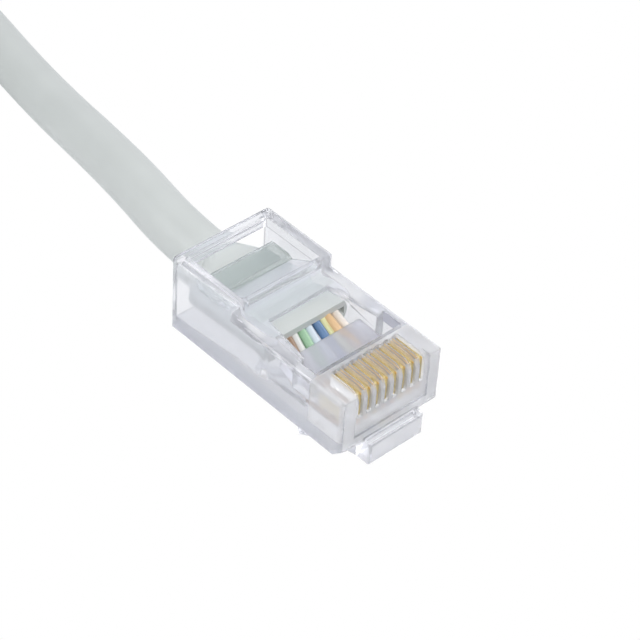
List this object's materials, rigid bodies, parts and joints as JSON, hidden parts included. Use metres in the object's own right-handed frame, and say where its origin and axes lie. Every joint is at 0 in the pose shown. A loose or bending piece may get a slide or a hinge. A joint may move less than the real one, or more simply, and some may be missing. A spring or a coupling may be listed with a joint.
{
  "type": "rj45 modular plug",
  "caption": "Clear eight-way modular data plug with gold contacts and a sprung latch, crimped on a short grey round cable that ends in a second plug.",
  "frame": {"origin": "under the middle of the near plug's own box (body and latch, without the lead), level with the tip of its latch", "axes": "+Z towards the contact side, -Y out of the nose into the jack, +X to the right seen from the nose side with the contacts up"},
  "size_m": [0.0691, 0.1256, 0.0128],
  "materials": {
    "clear_polycarbonate": "clear gloss",
    "gold_plated_contact": "plated",
    "copper_core": "drawn",
    "grey_jacket": "satin",
    "brown_insulation": "satin",
    "white_brown_insulation": "satin",
    "green_insulation": "satin",
    "white_blue_insulation": "satin",
    "blue_insulation": "satin",
    "white_green_insulation": "satin",
    "orange_insulation": "satin",
    "white_orange_insulation": "satin"
  },
  "bodies": {
    "plug": {"cable_coil": "grey_jacket", "cable_run": "grey_jacket", "cable_tail": "grey_jacket", "contact_1": "gold_plated_contact", "contact_2": "gold_plated_contact", "contact_3": "gold_plated_contact", "contact_4": "gold_plated_contact", "contact_5": "gold_plated_contact", "contact_6": "gold_plated_contact", "contact_7": "gold_plated_contact", "contact_8": "gold_plated_contact", "core_1": "copper_core", "core_2": "copper_core", "core_3": "copper_core", "core_4": "copper_core", "core_5": "copper_core", "core_6": "copper_core", "core_7": "copper_core", "core_8": "copper_core", "far_housing": "clear_polycarbonate", "far_jacket_end": "grey_jacket", "housing": "clear_polycarbonate", "jacket_end": "grey_jacket", "wire_1": "brown_insulation", "wire_2": "white_brown_insulation", "wire_3": "green_insulation", "wire_4": "white_blue_insulation", "wire_5": "blue_insulation", "wire_6": "white_green_insulation", "wire_7": "orange_insulation", "wire_8": "white_orange_insulation"},
    "latch": {"latch": "clear_polycarbonate"},
    "far_latch": {"far_latch": "clear_polycarbonate"}
  },
  "joints": [
    {"name": "latch_press", "type": "hinge", "parent": "plug", "child": "latch", "pos_m": [0, -0.0099, 0.00416], "axis": [1, 0, 0], "range_deg": [0, 12.5], "stiffness_Nm_per_rad": 0.3},
    {"name": "far_latch_press", "type": "hinge", "parent": "plug", "child": "far_latch", "pos_m": [-0.04893, 0.01563, 0.00584], "axis": [0, 0, -1], "range_deg": [0, 12.5], "stiffness_Nm_per_rad": 0.3}
  ]
}
